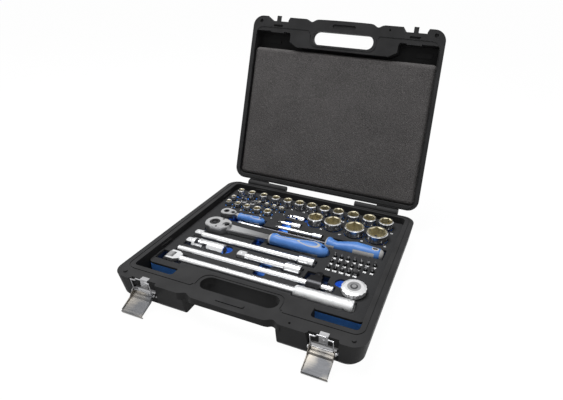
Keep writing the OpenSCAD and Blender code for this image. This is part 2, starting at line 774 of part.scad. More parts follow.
// Swivelling drive head, stored pointing down
module flex_handle_head() {
    color([0.6, 0.6, 0.61]) at_rim() translate([flex_pivot_x, flex_y, flex_z]) difference() {
        union() {
            intersection() {
                rotate([90, 0, 0]) cylinder(r = 8, h = 13.6, center = true);
                cube([16, 13.6, 14.6], center = true);
            }
            translate([0, 0, -5.5]) rotate([0, -90, 0]) drive_square(half_sq, 15);
        }
        rotate([90, 0, 0]) cylinder(r = 2.5 + fit, h = 20, center = true);
    }
}

module flex_handle_pin() {
    color([0.5, 0.5, 0.52]) at_rim() translate([flex_pivot_x, flex_y, flex_z]) rotate([90, 0, 0])
        cylinder(r = 2.5, h = 22.8, center = true);
}

// ---------- sliding T handle ----------

module sliding_bar() {
    len_bar = 308;
    color([0.82, 0.82, 0.84]) at_rim() translate([-177, slide_y, slide_z]) {
        difference() {
            turned([[0, bar_r - 1.2], [1.2, bar_r], [len_bar - 1.2, bar_r], [len_bar, bar_r - 1.2]]);
            translate([8, 0, bar_r]) sphere(2.2, $fn = 24);
        }
        translate([len_bar - 8, 0, bar_r - 0.9]) sphere(2, $fn = 24);
    }
}

module sliding_head() {
    l = 26;
    color([0.16, 0.16, 0.17]) at_rim() translate([slide_x, slide_y, slide_z]) difference() {
        union() {
            rotate([0, 90, 0]) cylinder(r = 11, h = l, center = true);
            translate([0, 6, 0]) cube([l - 4, 12, 22], center = true);
            translate([0, 11, 0]) rotate([-90, 0, 0]) cylinder(r1 = 11, r2 = 8.6, h = 4);
            translate([0, 12, 0]) rotate([0, 0, -90]) drive_square(half_sq, 17);
        }
        rotate([0, 90, 0]) cylinder(r = bar_r + fit, h = l + 2, center = true);
    }
}

// ---------- extensions ----------

module extension(l, shaft_r, collar_r, sq) {
    tip = sq * 1.25;
    collar = collar_r * 3.2;
    difference() {
        union() {
            translate([tip, 0, 0]) drive_square(sq, tip);
            translate([tip - 0.5, 0, 0]) turned([
                [0, shaft_r], [l - tip - collar - 2, shaft_r], [l - tip - collar, collar_r - 0.8],
                [l - tip - collar + 1.5, collar_r], [l - tip - 0.7, collar_r], [l - tip + 0.5, collar_r - 1.2]]);
        }
        translate([l - sq * 1.2, 0, 0]) rotate([90, 0, 90]) linear_extrude(sq * 1.3) square(sq + 0.1, center = true);
    }
}

module half_extension_long() {
    color([0.82, 0.82, 0.84]) at_rim() translate([-173.5, long_ext_y, ext_z])
        extension(250, half_shaft_r, half_collar_r, half_sq);
}

module half_extension_short() {
    color([0.82, 0.82, 0.84]) at_rim() translate([-62, short_ext_y, ext_z])
        extension(125, half_shaft_r, half_collar_r, half_sq);
}

module quarter_extension_long() {
    color([0.84, 0.84, 0.86]) at_rim() translate([-45, small_long_y, small_ext_z])
        extension(102, quarter_shaft_r, quarter_collar_r, quarter_sq);
}

module quarter_extension_short() {
    color([0.84, 0.84, 0.86]) at_rim() translate([-47, small_short_y, small_ext_z])
        extension(50, quarter_shaft_r, quarter_collar_r, quarter_sq);
}

// ---------- universal joints, cross centre at the origin, socket end towards +X ----------

module joint_yoke(r, l, sq) {
    ear = r * 0.36;
    difference() {
        union() {
            translate([r * 1.15, 0, 0]) turned([[0, r * 0.8], [r * 0.3, r], [l - 1, r], [l, r - 1]]);
            for (sz = [-1, 1]) {
                translate([0, 0, sz * (r - ear / 2)]) intersection() {
                    translate([-r * 0.5, -r * 0.5, -ear / 2]) cube([r * 2, r, ear]);
                    translate([0, 0, -sz * (r - ear / 2)]) rotate([0, 90, 0]) cylinder(r = r, h = 9 * r, center = true);
                }
            }
        }
        cylinder(r = r * 0.22 + fit, h = 3 * r, center = true);
        translate([r * 1.15 + l - sq * 1.15, 0, 0]) rotate([90, 0, 90]) linear_extrude(sq * 1.3)
            square(sq + 0.1, center = true);
    }
}

module joint_cross(r) {
    b = r * 0.4;
    translate([0, 0, 0]) cube([2 * b, 2 * b, 2 * b], center = true);
    cylinder(r = r * 0.22, h = 1.9 * r, center = true);
    rotate([90, 0, 0]) cylinder(r = r * 0.22, h = 1.9 * r, center = true);
}

module joint_square(r, sq) {
    ear = r * 0.36;
    difference() {
        union() {
            for (sy = [-1, 1]) {
                translate([0, sy * (r - ear / 2), 0]) intersection() {
                    translate([-r * 1.5, -ear / 2, -r * 0.5]) cube([r * 2, ear, r]);
                    translate([0, -sy * (r - ear / 2), 0]) rotate([0, 90, 0]) cylinder(r = r, h = 9 * r, center = true);
                }
            }
            translate([-r * 1.75, 0, 0]) turned([[0, sq * 0.7], [1, r], [r * 0.6, r], [r * 0.6 + 0.1, r * 0.9]]);
            translate([-r * 1.7, 0, 0]) drive_square(sq, sq * 1.15);
        }
        rotate([90, 0, 0]) cylinder(r = r * 0.22 + fit, h = 3 * r, center = true);
    }
}

half_joint_r = 10.6;
small_joint_r = 6.2;

module half_joint_yoke() {
    color([0.82, 0.82, 0.84]) at_rim() translate([joint_x, joint_y, joint_z]) joint_yoke(half_joint_r, 37, half_sq);
}

module half_joint_cross() {
    color([0.6, 0.6, 0.62]) at_rim() translate([joint_x, joint_y, joint_z]) joint_cross(half_joint_r);
}

module half_joint_square() {
    color([0.82, 0.82, 0.84]) at_rim() translate([joint_x, joint_y, joint_z]) joint_square(half_joint_r, half_sq);
}

module quarter_joint_yoke() {
    color([0.84, 0.84, 0.86]) at_rim() translate(small_joint) {
        joint_yoke(small_joint_r, 15, quarter_sq);
        joint_cross(small_joint_r);
    }
}

module quarter_joint_square() {
    color([0.84, 0.84, 0.86]) at_rim() translate(small_joint) joint_square(small_joint_r, quarter_sq);
}

// ---------- thumb ratchet ----------

module thumb_ratchet_disc() {
    r = 21.5;
    lobes = 15;
    color([0.82, 0.82, 0.83]) at_rim() translate([disc_spot[0], disc_spot[1], 0]) difference() {
        union() {
            translate([0, 0, -13]) cylinder(r1 = r - 2, r2 = r, h = 2);
            translate([0, 0, -11]) cylinder(r = r, h = 6.5);
            translate([0, 0, -4.5]) cylinder(r1 = r, r2 = r - 5, h = 2.5);
        }
        for (i = [0:lobes - 1]) {
            rotate(i * 360 / lobes) translate([r + 2.2, 0, -14]) cylinder(r = 3.2, h = 14, $fn = 24);
        }
        translate([0, 0, -14]) cylinder(r = 10 + fit, h = 14);
    }
}

module thumb_ratchet_drive() {
    color([0.45, 0.45, 0.46]) at_rim() translate([disc_spot[0], disc_spot[1], 0]) {
        difference() {
            translate([0, 0, -12.6]) cylinder(r = 10, h = 10.4);
            translate([0, 0, -2.7]) rotate_extrude() translate([6.6, 0]) square([1.6, 1]);
        }
        translate([0, 0, -2.2]) cylinder(r1 = 4.4, r2 = 3.8, h = 1.2);
        translate([0, 0, -12.6]) rotate([0, -90, 0]) drive_square(quarter_sq, 8);
    }
}

// ---------- quarter-inch ratchet ----------

module quarter_ratchet_body() {
    color([0.78, 0.78, 0.8]) at_rim() translate([0, small_ratchet_y, 0]) difference() {
        union() {
            ratchet_head(small_drive_x, 12.2, -146.5, 9.6, -17, -4, 7.6, 1.1);
            translate([0, 0, -15]) linear_extrude(8.6) polygon([[-142, -5], [-139, -4.4], [-118, -4.4], [-118, 4.4],
                [-139, 4.4], [-142, 5]]);
        }
        translate([small_lever_x, 0, -5.4]) cylinder(r = 4.6, h = 4);
        translate([small_lever_x, 0, -10]) cylinder(r = 1.4 + fit, h = 8);
    }
}

module quarter_ratchet_drive() {
    color([0.14, 0.14, 0.15]) at_rim() translate([small_drive_x, small_ratchet_y, 0]) difference() {
        union() {
            translate([0, 0, -16.6]) cylinder(r = 7.6, h = 9.4);
            translate([0, 0, -16.6]) cylinder(r = 7.6 * 0.78, h = 12.2);
            translate([0, 0, -16.6]) rotate([0, -90, 0]) drive_square(quarter_sq, 8);
        }
        translate([0, 0, -12]) linear_extrude(10) circle(3.4, $fn = 6);
    }
}

module quarter_ratchet_lever() {
    color([0.14, 0.14, 0.15]) at_rim() translate([small_lever_x, small_ratchet_y, 0]) {
        translate([0, 0, -9]) cylinder(r = 1.4, h = 4);
        translate([0, 0, -5.2]) linear_extrude(2) {
            circle(2.4);
            rotate(-60) translate([-1.4, 0]) square([2.8, 4.1]);
        }
    }
}

quarter_grip = [[-131, 6.6, 6, 0], [-128, 8.8, 7.4, 0.4], [-121, 7.2, 6.8, -0.2], [-104, 8.2, 7.6, 0.2],
                [-88, 9.6, 7.8, 0.2], [-80, 8.4, 7.2, 0], [-74, 6.4, 6, 0.4], [-70.5, 3, 3.4, 0.4]];

module quarter_ratchet_grip() {
    color([0.2, 0.38, 0.75]) at_rim() translate([0, small_ratchet_y, -10.7]) difference() {
        blended(quarter_grip);
        translate([-137, -4.4, -4.3]) cube([19, 8.8, 8.6]);
        translate([-79, 1, -20]) cylinder(r = 2.4, h = 40);
    }
}

// ---------- spinner handle ----------

spinner_stations = [[71, 9, 9, 1], [74, 12.8, 12.8, 2.3], [78, 13.5, 13.5, 2.3], [86, 10.6, 10.6, 0.5],
                    [94, 9.75, 9.75, 0], [108, 11.8, 11.8, 2], [131, 14.5, 14.5, 4.8], [158, 13.4, 13.4, 3.7],
                    [176, 12.5, 12.5, 3.4], [182, 10.5, 10.5, 3.2], [185, 7, 7, 3]];

module spinner_grip() {
    color([0.2, 0.38, 0.75]) at_rim() translate([0, spinner_y, spinner_z]) difference() {
        blended(spinner_stations);
        rotate([0, 90, 0]) cylinder(r = 3.4, h = 110);
        for (sx = [-2, 2]) {
            translate([169 + sx, 3.5, -20]) cylinder(r = 3, h = 40);
        }
        translate([167, 0.5, -20]) cube([4, 6, 40]);
    }
}

module spinner_shaft() {
    color([0.82, 0.82, 0.84]) at_rim() translate([-115, spinner_y, spinner_z]) {
        drive_square(quarter_sq, 8);
        translate([-0.5, 0, 0]) turned([[0, 4], [2.5, 4], [4, 3.4], [225.5, 3.4]]);
    }
}

// ---------- foam tray ----------

// A straight slot along X with square ends
module slot_x(x0, x1, y, w, z) {
    translate([x0, y - w / 2, z]) cube([x1 - x0, w, -z + 10]);
}

// A finger notch with round ends across a tool
module notch(x, y, w, d) {
    translate([x, y, tray_z - notch_depth]) linear_extrude(notch_depth + 10) round_rect(w, d, min(w, d) * 0.2);
}

module round_notch(x, y, r) {
    translate([x, y, tray_z - notch_depth]) cylinder(r = r, h = notch_depth + 10);
}

// Every pocket of the tray, as the space that is cut out of both layers
module pockets() {
    g = pocket_gap;
    for (i = [0:len(half_sizes) - 1]) {
        translate([half_xs[i], half_row_y, ring_z - half_socket_h])
            cylinder(r = max(half_od(half_sizes[i]) - 0.6, 22) / 2 + g, h = 60);
    }
    for (i = [0:3]) {
        translate([large_spots[i][0], large_spots[i][1], ring_z - large_socket_h])
            cylinder(r = half_od(large_sizes[i]) / 2 + g, h = 60);
    }
    spots = concat(small_spots, middle_spots, adaptor_spots);
    radii = concat([for (s = small_sizes) max(quarter_od(s), 11.6) / 2],
                   [for (s = middle_sizes) max(quarter_od(s), 11.6) / 2], [7.6, 6.2]);
    for (i = [0:len(spots) - 1]) {
        translate([spots[i][0], spots[i][1], quarter_ring_z - quarter_socket_h])
            cylinder(r = radii[i] + 0.5, h = 60);
    }
    for (r = [0:len(bit_rows) - 1], i = [0:bit_rows[r][0] - 1]) {
        translate([bit_x0 + i * bit_step, bit_rows[r][1], bit_top_z - bit_len]) cylinder(r = 4, h = 60);
        if (r == 2 && i == 4) {
            translate([bit_x0 + i * bit_step, bit_rows[r][1], -16.5]) cylinder(r = 6.2, h = 40);
        }
    }
    // half-inch ratchet: head, drive, neck and grip
    translate([0, ratchet_y, ratchet_low]) linear_extrude(40) ratchet_plan(ratchet_drive_x, 19, -135, 17.5, 1.5);
    translate([ratchet_drive_x, ratchet_y, ratchet_low - 17]) cylinder(r = 10.5, h = 60);
    slot_x(-122, -20, ratchet_y, 23, -15);
    slot_x(-32.5, 74, 18.1, 35, -22.4);
    translate([74, 18.1, -22.4]) cylinder(r = 17.5, h = 40);
    // flex handle: head, shank and grip
    slot_x(flex_pivot_x - 24, flex_pivot_x + 29, flex_y, 25, flex_z - 22.5);
    slot_x(flex_pivot_x + 20, 74, flex_y, 14.5, flex_z - 6.25);
    slot_x(71, 178, flex_y, 25, flex_z - 11.5);
    // sliding handle
    slot_x(-179, 133, slide_y, 14, slide_z - bar_r);
    slot_x(slide_x - 27, slide_x + 24, slide_y, 24, slide_z - 11.2);
    slot_x(slide_x - 24, slide_x + 19, slide_y + 17, 26, slide_z - 11.2);
    // extensions
    slot_x(-175.5, 79, long_ext_y, 15, ext_z - half_sq / 2 - 0.05);
    slot_x(42.5, 79.5, long_ext_y, 20.5, ext_z - half_collar_r);
    slot_x(-64, 65.5, short_ext_y, 15, ext_z - half_sq / 2 - 0.05);
    slot_x(29, 65.5, short_ext_y, 20.5, ext_z - half_collar_r);
    slot_x(-47, 58, small_long_y, 9.6, small_ext_z - quarter_shaft_r);
    slot_x(34, 59, small_long_y, 14, small_ext_z - quarter_collar_r);
    slot_x(-49, 4, small_short_y, 9.6, small_ext_z - quarter_shaft_r);
    slot_x(-20, 5, small_short_y, 14, small_ext_z - quarter_collar_r);
    // universal joints
    slot_x(joint_x - 35, joint_x + 54, joint_y, 23.4, joint_z - half_joint_r);
    slot_x(small_joint[0] - 20, small_joint[0] + 24, small_joint[1], 14.2, small_joint[2] - small_joint_r);
    // thumb ratchet
    translate([disc_spot[0], disc_spot[1], -13]) cylinder(r = 22.6, h = 40);
    translate([disc_spot[0], disc_spot[1], -22]) cylinder(r = 6, h = 40);
    // quarter-inch ratchet
    translate([0, small_ratchet_y, -17]) linear_extrude(40) ratchet_plan(small_drive_x, 12.2, -146.5, 9.6, 1.2);
    translate([small_drive_x, small_ratchet_y, -26]) cylinder(r = 6, h = 40);
    slot_x(-140, -69, small_ratchet_y, 20.6, -18.5);
    // spinner handle
    slot_x(-125, 72, 53.1, 11.2, spinner_z - 4);
    slot_x(69, 187.5, 56.2, 33, spinner_z - 14.5);
    // finger notches
    notch(-50, 4, 19, 26);
    notch(-3, -71.5, 22, 32);
    notch(-136, 60, 26, 22);
    notch(-27, 87.5, 22, 24);
    notch(-25, 66.5, 22, 24);
    notch(8, 112, 14, 14);
    notch(74, 46, 14, 30);
    round_notch(-92, -43, 12);
    round_notch(138, -51, 11);
}

module tray_plan() {
    front = cav_front + 0.5;
    translate([0, (front + cav_back - 0.5) / 2]) round_rect(2 * cav_x - 1, cav_back - 0.5 - front, 9);
}

module tray_foam_top() {
    color([0.1, 0.1, 0.11]) at_rim() difference() {
        translate([0, 0, skin_z]) linear_extrude(skin_t) tray_plan();
        pockets();
        for (i = [0:4]) {
            translate([middle_spots[i][0], middle_spots[i][1], skin_z - 1])
                cylinder(r = quarter_od(middle_sizes[i]) / 2 + 2.4, h = 20);
            translate([small_spots[i][0], small_spots[i][1], skin_z - 1])
                cylinder(r = quarter_od(small_sizes[i]) / 2 + 2.6, h = 20);
        }
    }
}

module tray_foam_base() {
    color([0.1, 0.25, 0.6]) at_rim() difference() {
        translate([0, 0, tray_floor]) linear_extrude(skin_z - tray_floor) tray_plan();
        pockets();
    }
}

base_shell();
lid_shell();
hinge_pins();
tray_foam_top();
tray_foam_base();
lid_foam();
latch_plates();
left_latch_lever();
right_latch_lever();
left_latch_bail();
right_latch_bail();
latch_rivets();
half_ratchet_body();
half_ratchet_grip();
half_ratchet_drive();
half_ratchet_button();
half_ratchet_lever();
half_ratchet_screws();
flex_handle_bar();
flex_handle_grip();
flex_handle_head();
flex_handle_pin();
sliding_bar();
sliding_head();
half_extension_long();
half_extension_short();
half_joint_yoke();
half_joint_cross();
half_joint_square();
thumb_ratchet_disc();
thumb_ratchet_drive();
quarter_ratchet_body();
quarter_ratchet_grip();
quarter_ratchet_drive();
quarter_ratchet_lever();
spinner_grip();
spinner_shaft();
quarter_extension_long();
quarter_extension_short();
quarter_joint_yoke();
quarter_joint_square();
quarter_sockets();
bit_adaptors();
driver_bits();
half_row(0);  // half_socket_10
half_row(1);  // half_socket_11
half_row(2);  // half_socket_12
half_row(3);  // half_socket_13
half_row(4);  // half_socket_14
half_row(5);  // half_socket_15
half_row(6);  // half_socket_16
half_row(7);  // half_socket_17
half_row(8);  // half_socket_18
half_row(9);  // half_socket_19
half_row(10);  // half_socket_21
half_row(11);  // half_socket_22
large(0);  // half_socket_24
large(1);  // half_socket_27
large(2);  // half_socket_30
large(3);  // half_socket_32
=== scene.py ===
# %% [markdown]
# # A socket wrench set in its case
#
# The object is a black blow-moulded tool case that stands open on a table. A tray of two-layer foam, black
# over blue, holds chrome sockets, ratchets with blue and grey grips, extension bars, driver bits and a
# flex handle. The rigid parts already exist as exact solids, so this script loads them as a frame, gives
# each one a detailed finish, and models what solids cannot give: foam with soft edges, smooth grips and
# printed numbers. Everything is in metres, with Z up and the case standing on Z = 0.

import math

import bpy
from mathutils import Matrix, Vector


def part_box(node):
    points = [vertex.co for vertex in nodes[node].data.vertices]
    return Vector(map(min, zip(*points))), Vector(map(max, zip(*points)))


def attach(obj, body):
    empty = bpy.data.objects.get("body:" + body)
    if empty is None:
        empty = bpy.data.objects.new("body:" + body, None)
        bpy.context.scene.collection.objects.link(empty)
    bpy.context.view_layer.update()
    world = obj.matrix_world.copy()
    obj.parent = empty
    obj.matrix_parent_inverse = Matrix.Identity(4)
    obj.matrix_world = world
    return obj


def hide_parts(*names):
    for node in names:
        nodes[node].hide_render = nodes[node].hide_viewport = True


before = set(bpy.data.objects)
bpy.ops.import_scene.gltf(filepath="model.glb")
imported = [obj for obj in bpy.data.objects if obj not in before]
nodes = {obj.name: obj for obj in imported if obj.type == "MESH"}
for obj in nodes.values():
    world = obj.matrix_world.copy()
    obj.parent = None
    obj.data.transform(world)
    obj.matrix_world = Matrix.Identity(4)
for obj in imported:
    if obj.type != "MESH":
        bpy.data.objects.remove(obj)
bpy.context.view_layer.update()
MM = 0.001
RIM = 0.047


def middle_of(node_name):
    """The middle of a solid's box, seen from above."""
    low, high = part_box(node_name)
    return (low[0] + high[0]) / 2, (low[1] + high[1]) / 2


print(len(nodes), "solids; rim of the base at", RIM)

# %% [markdown]
# ## The camera
#
# A camera looks along its own -Z axis. It is turned three times: about Z for the side it stands on, about
# its own X for how far it looks down, and about its line of sight for a slight tilt of the picture. The
# lens and the two shifts place the case in the frame.

# %% Camera
CAMERA_PLACE = (0.3149, -0.6369, 0.5276)
AZIMUTH, ELEVATION, ROLL = 19.1487, 23.589, 2.3734

camera_data = bpy.data.cameras.new("studio_camera")
camera_data.lens = 28.52
camera_data.shift_x = -0.0888
camera_data.shift_y = -0.0709
camera = bpy.data.objects.new("studio_camera", camera_data)
bpy.context.scene.collection.objects.link(camera)
bpy.context.scene.camera = camera
camera.matrix_world = (
    Matrix.Translation(CAMERA_PLACE)
    @ Matrix.Rotation(math.radians(AZIMUTH), 4, "Z")
    @ Matrix.Rotation(math.radians(90 - ELEVATION), 4, "X")
    @ Matrix.Rotation(math.radians(ROLL), 4, "Z")
)
print("camera at", [round(v, 3) for v in camera.location])

# %% [markdown]
# ## Light and floor
#
# Chrome shows its surroundings more than itself, so the room matters as much as the lamps. The world is
# white for the camera and for mirror reflections, and a softer grey for diffuse light, which keeps the
# black plastic dark. One large soft lamp hangs almost straight above, so the tops are light and the walls
# fall into shade, and a weaker one fills from the front right.

# %% Room
scene = bpy.context.scene
scene.view_settings.view_transform = "Standard"
WORLD_LIGHT = 0.24

world = bpy.data.worlds.new("studio_room")
scene.world = world
world.use_nodes = True
room = world.node_tree
background = room.nodes["Background"]
background.inputs["Color"].default_value = (1, 1, 1, 1)


def seen_directly(tree):
    """A socket that is one for rays from the camera, off a mirror or through glass, zero for all others."""
    paths = tree.nodes.new("ShaderNodeLightPath")
    seen = paths.outputs["Is Camera Ray"]
    for ray in ("Is Glossy Ray", "Is Transmission Ray"):
        either = tree.nodes.new("ShaderNodeMath")
        either.operation = "MAXIMUM"
        tree.links.new(seen, either.inputs[0])
        tree.links.new(paths.outputs[ray], either.inputs[1])
        seen = either.outputs[0]
    return seen


level = room.nodes.new("ShaderNodeMapRange")
level.inputs["To Min"].default_value = WORLD_LIGHT
level.inputs["To Max"].default_value = 1.0
room.links.new(seen_directly(room), level.inputs["Value"])
room.links.new(level.outputs["Result"], background.inputs["Strength"])


def soft_lamp(name, place, target, size, power):
    """A square area lamp aimed at a point, with its power in watts."""
    data = bpy.data.lights.new(name, "AREA")
    data.size = size
    data.energy = power
    lamp = bpy.data.objects.new(name, data)
    scene.collection.objects.link(lamp)
    lamp.location = place
    lamp.rotation_mode = "QUATERNION"
    lamp.rotation_quaternion = (Vector(target) - Vector(place)).to_track_quat("-Z", "Y")
    return lamp


soft_lamp("key_lamp", place=(-0.4, 0.1, 1.9), target=(0, 0.03, 0.05), size=1.1, power=46)
soft_lamp("fill_lamp", place=(1.0, -0.9, 1.6), target=(0, 0.05, 0.15), size=1.0, power=3)
print("world light", WORLD_LIGHT)

# %% [markdown]
# ## Helpers for modelling by hand
#
# Modelling operators act on whatever is selected, so each step first clears the selection, then selects
# faces or edges in code by their place. A finished piece gets its modifiers applied, its place baked into
# its mesh, a finish and the body it rides on.


# %% Selection and finishing helpers
def clear_selection():
    """Leaves nothing selected."""
    for other in bpy.context.selected_objects:
        other.select_set(False)


def make_active(obj):
    """Selects one object alone, for the operator that comes next."""
    clear_selection()
    obj.select_set(True)
    bpy.context.view_layer.objects.active = obj


def apply_modifiers(obj):
    """Turns the modifiers of an object into its mesh, in their order."""
    make_active(obj)
    for modifier in list(obj.modifiers):
        bpy.ops.object.modifier_apply(modifier=modifier.name)


def settle(obj, name, finish, body):
    """Names a piece, bakes its place into its mesh and joins it to its body."""
    apply_modifiers(obj)
    bpy.ops.object.transform_apply(location=True, rotation=True, scale=True)
    obj.name = name
    obj.data.name = name
    obj.data.materials.clear()
    obj.data.materials.append(finish)
    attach(obj, body)
    return obj


MERGE_GAP = 0.002 * MM
FLAT_ANGLE = math.radians(0.5)


def copy_of(node_name, name):
    """A merged copy of a solid's mesh, to be shaped further."""
    source = nodes[node_name]
    obj = bpy.data.objects.new(name, source.data.copy())
    scene.collection.objects.link(obj)
    make_active(obj)
    bpy.ops.object.mode_set(mode="EDIT")
    bpy.ops.mesh.select_all(action="SELECT")
    bpy.ops.mesh.remove_doubles(threshold=MERGE_GAP)
    bpy.ops.mesh.dissolve_limited(angle_limit=FLAT_ANGLE)
    bpy.ops.object.mode_set(mode="OBJECT")
    return obj


print("helpers ready")

# %% [markdown]
# ## Shader maths
#
# A finish is a network of nodes. Writing it as arithmetic keeps it readable: the small class below wraps
# an output socket, and adding or multiplying two wrapped sockets adds the Math node that does it.


# %% Socket arithmetic
class Signal:
    """An output socket that takes part in arithmetic."""

    def __init__(self, tree, socket):
        self.tree = tree
        self.socket = socket

    def _math(self, operation, first, second):
        node = self.tree.nodes.new("ShaderNodeMath")
        node.operation = operation
        for place, value in enumerate((first, second)):
            if isinstance(value, Signal):
                self.tree.links.new(value.socket, node.inputs[place])
            else:
                node.inputs[place].default_value = value
        return Signal(self.tree, node.outputs[0])

    def __add__(self, other):
        return self._math("ADD", self, other)

    def __sub__(self, other):
        return self._math("SUBTRACT", self, other)

    def __rsub__(self, other):
        return self._math("SUBTRACT", other, self)

    def __mul__(self, other):
        return self._math("MULTIPLY", self, other)

    def __truediv__(self, other):
        return self._math("DIVIDE", self, other)

    def __pow__(self, other):
        return self._math("POWER", self, other)

    def __gt__(self, other):
        return self._math("GREATER_THAN", self, other)

    def __lt__(self, other):
        return self._math("LESS_THAN", self, other)

    def largest(self, other):
        return self._math("MAXIMUM", self, other)

    def smallest(self, other):
        return self._math("MINIMUM", self, other)

    def sine(self):
        return self._math("SINE", self, 0.0)

    def size(self):
        return self._math("ABSOLUTE", self, 0.0)

    def angle_from(self, other):
        """The angle whose tangent is this signal over the other."""
        return self._math("ARCTAN2", self, other)


class Finish:
    """A material that is built from nodes and ends in one shader."""

    def __init__(self, name, **constants):
        self.material = bpy.data.materials.new(name)
        self.material.use_nodes = True
        self.tree = self.material.node_tree
        self.shader = self.tree.nodes["Principled BSDF"]
        for socket, value in constants.items():
            self.shader.inputs[socket.replace("_", " ")].default_value = value
        self.place = self.node("ShaderNodeTexCoord", {}, {}, "Object")

    def node(self, kind, settings, values, output=0):
        """Adds a node: its settings first, then the value or link of each named socket."""
        made = self.tree.nodes.new(kind)
        for setting, value in settings.items():
            setattr(made, setting, value)
        for socket, value in values.items():
            target = made.inputs[socket]
            if isinstance(value, Signal):
                self.tree.links.new(value.socket, target)
            else:
                target.default_value = value
        return Signal(self.tree, made.outputs[output])

    def axes(self):
        """The three object coordinates as signals."""
        split = self.tree.nodes.new("ShaderNodeSeparateXYZ")
        self.tree.links.new(self.place.socket, split.inputs[0])
        return [Signal(self.tree, out) for out in split.outputs]

    def noise(self, scale, detail=2.0, rough=0.5, stretch=None):
        """Soft noise; stretch below one along an axis draws it out along that axis."""
        vector = self.place
        if stretch is not None:
            vector = self.node("ShaderNodeMapping", {}, {"Vector": self.place, "Scale": stretch})
        values = {"Vector": vector, "Scale": scale, "Detail": detail, "Roughness": rough}
        return self.node("ShaderNodeTexNoise", {}, values)

    def cells(self, scale):
        """Round cells: the distance to the nearest of scattered points."""
        values = {"Vector": self.place, "Scale": scale}
        return self.node("ShaderNodeTexVoronoi", {"feature": "F1"}, values, "Distance")

    def mix(self, factor, first, second):
        """Blends two colours by a factor."""
        made = self.tree.nodes.new("ShaderNodeMix")
        made.data_type = "RGBA"
        for socket, value in zip((made.inputs[0], made.inputs[6], made.inputs[7]), (factor, first, second)):
            if isinstance(value, Signal):
                self.tree.links.new(value.socket, socket)
            elif isinstance(value, tuple):
                socket.default_value = (*value, 1)
            else:
                socket.default_value = value
        return Signal(self.tree, made.outputs[2])

    def spread(self, value, low, high, to_low=0.0, to_high=1.0):
        """Maps a value between two limits onto two others, clamped."""
        return self.node("ShaderNodeMapRange", {}, {"Value": value, "From Min": low, "From Max": high,
                                                    "To Min": to_low, "To Max": to_high})

    def set(self, socket, value):
        """Links a signal to a socket of the shader, in place of any earlier link."""
        self.tree.links.new(value.socket, self.shader.inputs[socket])

    def relief(self, height, distance, strength=1.0):
        """Sends a height pattern to the normal, in metres of relief."""
        values = {"Height": height, "Distance": distance, "Strength": strength}
        self.set("Normal", self.node("ShaderNodeBump", {}, values, "Normal"))


def dress(finish, *names):
    """Gives solids a finish."""
    for name in names:
        mesh = nodes[name].data
        mesh.materials.clear()
        mesh.materials.append(finish.material)


print("shader helpers ready")

# %% [markdown]
# ## The floor
#
# The floor is a pale plane. It takes the soft shadow of the case, and looks white to the camera because
# part of its shader glows. It glows for camera and mirror rays only, so matte surfaces get no light from it.

# %% Floor
clear_selection()
FLOOR_WIDTH = 30
FLOOR_Z = -0.2 * MM
GLOW_SHARE = 0.93
GLOW_STRENGTH = 1.05
bpy.ops.mesh.primitive_plane_add(size=FLOOR_WIDTH, location=(0, 0, FLOOR_Z))
floor = bpy.context.active_object
floor.name = "studio_floor"
floor_paint = bpy.data.materials.new("floor_paper")
floor_paint.use_nodes = True
paper = floor_paint.node_tree
matte = paper.nodes["Principled BSDF"]
matte.inputs["Base Color"].default_value = (0.5, 0.5, 0.5, 1)
matte.inputs["Roughness"].default_value = 0.9
matte.inputs["Specular IOR Level"].default_value = 0.1
glow = paper.nodes.new("ShaderNodeEmission")
glow.inputs["Color"].default_value = (1, 1, 1, 1)
glow.inputs["Strength"].default_value = GLOW_STRENGTH
floor_mix = paper.nodes.new("ShaderNodeMixShader")
share = paper.nodes.new("ShaderNodeMath")
share.operation = "MULTIPLY"
share.inputs[1].default_value = GLOW_SHARE
paper.links.new(seen_directly(paper), share.inputs[0])
paper.links.new(share.outputs[0], floor_mix.inputs["Fac"])
paper.links.new(matte.outputs[0], floor_mix.inputs[1])
paper.links.new(glow.outputs[0], floor_mix.inputs[2])
paper.links.new(floor_mix.outputs[0], paper.nodes["Material Output"].inputs["Surface"])
floor.data.materials.append(floor_paint)
print("floor laid")

# %% [markdown]
# ## Finish of the case
#
# The case is blow-moulded polyethylene. Its mould is sand-blasted, which leaves a fine grain that scatters
# the light, and slow swells where the walls cooled at different rates. Handling adds faint scuffs. A noise
# of its own gives each of the three.


# %% Moulded plastic
def moulded_plastic(name, shade):
    """Hard black plastic with a blasted grain."""
    made = Finish(name, Specular_IOR_Level=0.04)
    grain = made.noise(2600, 3, 0.6)
    swell = made.noise(24, 2, 0.5)
    scuffs = made.noise(60, 4, 0.65, (1, 3, 1))
    tone = made.spread(swell, 0.3, 0.7)
    made.set("Base Color", made.mix(tone, tuple(0.85 * v for v in shade), tuple(1.15 * v for v in shade)))
    made.set("Roughness", made.spread(scuffs * 0.6 + grain * 0.4, 0.3, 0.7, 0.38, 0.52))
    made.relief(grain, 0.08 * MM, 0.55)
    return made


case_plastic = moulded_plastic("case_plastic_grain", (0.031, 0.031, 0.0317))
dress(case_plastic, "base_shell", "lid_shell")
print("case dressed")
